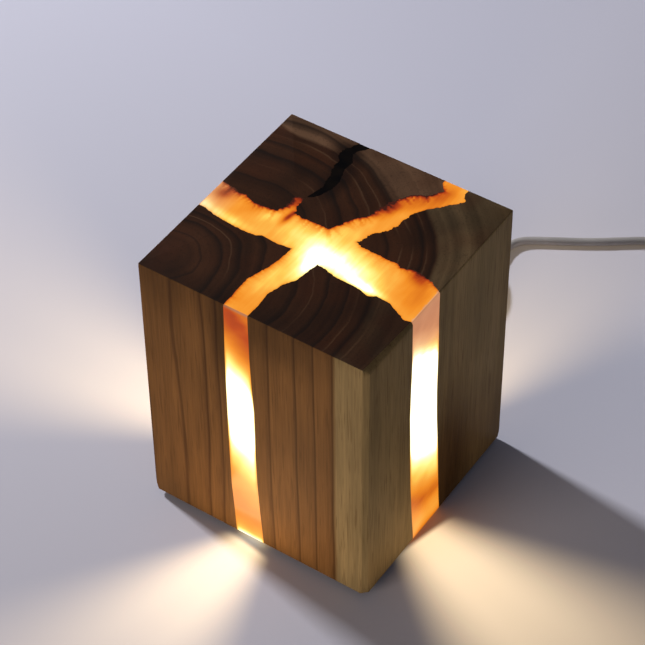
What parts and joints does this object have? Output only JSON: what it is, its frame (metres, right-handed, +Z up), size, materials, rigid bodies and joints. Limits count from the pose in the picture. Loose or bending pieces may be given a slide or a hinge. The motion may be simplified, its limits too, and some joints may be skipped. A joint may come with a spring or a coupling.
{
  "type": "led night light",
  "caption": "Riven dark-wood block cast together with a cross of clear amber-lit resin, with a USB lead, an in-line rocker switch and a plug.",
  "frame": {"origin": "on the table, under the middle of the block's footprint, at the underside of the feet", "axes": "+Z up along the block; -Y is the face with the narrow resin strip, +X the face with the wide one, and the lead leaves through the +Y face"},
  "size_m": [0.1427, 0.2009, 0.102],
  "materials": {
    "wood": "dark end-grain and long-grain hardwood, oiled satin",
    "resin": "clear casting resin, polished, lit amber from inside",
    "dark_resin": "clear casting resin in a deep crack, unlit and nearly black, polished",
    "black_plastic": "moulded, matt",
    "rubber": "moulded rubber, matt",
    "steel": "zinc-plated or nickel-plated, satin",
    "aluminium": "extruded, plain",
    "white_board": "white solder mask or moulded white plastic",
    "led_chip": "yellow phosphor in a white frame",
    "black_component": "glazed black",
    "red_wire": "PVC insulation",
    "black_wire": "PVC insulation",
    "grey_pvc": "light grey PVC jacket",
    "light_plastic": "moulded, satin",
    "brass": "stamped strip, bright",
    "hook_and_loop": "woven hook-and-loop strap"
  },
  "bodies": {
    "lamp": {"base_plate": "black_plastic", "base_screw_1": "steel", "base_screw_2": "steel", "base_screw_3": "steel", "base_screw_4": "steel", "check_filling": "dark_resin", "coil_tie": "hook_and_loop", "cord_coil": "grey_pvc", "cord_coil_to_switch": "grey_pvc", "cord_gland": "rubber", "cord_inner": "grey_pvc", "cord_lamp_to_coil": "grey_pvc", "cord_retaining_tie": "black_plastic", "cord_switch_to_plug": "grey_pvc", "foot_pad_1": "rubber", "foot_pad_2": "rubber", "foot_pad_3": "rubber", "foot_pad_4": "rubber", "led_chip_1": "led_chip", "led_chip_2": "led_chip", "led_chip_3": "led_chip", "led_chip_4": "led_chip", "led_chip_5": "led_chip", "led_chip_6": "led_chip", "led_chip_7": "led_chip", "led_chip_8": "led_chip", "led_circuit_board": "white_board", "led_heat_sink": "aluminium", "led_heat_sink_screw": "steel", "led_strip_1": "white_board", "led_strip_2": "white_board", "led_strip_3": "white_board", "led_strip_4": "white_board", "plug_body": "grey_pvc", "plug_contact_1": "brass", "plug_contact_2": "brass", "plug_contact_3": "brass", "plug_contact_4": "brass", "plug_shell": "steel", "plug_tongue": "white_board", "resin_cross": "resin", "resistor_1": "black_component", "resistor_2": "black_component", "switch_lower_shell": "light_plastic", "switch_pivot_pin": "steel", "switch_screw_1": "steel", "switch_screw_2": "steel", "switch_terminal_1": "brass", "switch_terminal_2": "brass", "switch_upper_shell": "light_plastic", "switch_wire": "red_wire", "wire_black": "black_wire", "wire_red": "red_wire", "wood_post_back": "wood", "wood_post_front": "wood", "wood_post_left": "wood", "wood_post_right": "wood"},
    "rocker": {"switch_rocker": "light_plastic", "switch_bridge": "brass"}
  },
  "joints": [
    {"name": "rocker_tilt", "type": "hinge", "parent": "lamp", "child": "rocker", "pos_m": [0.065, 0.122, 0.0082], "axis": [-0.8829, -0.4695, 0], "range_deg": [0, 16]}
  ]
}
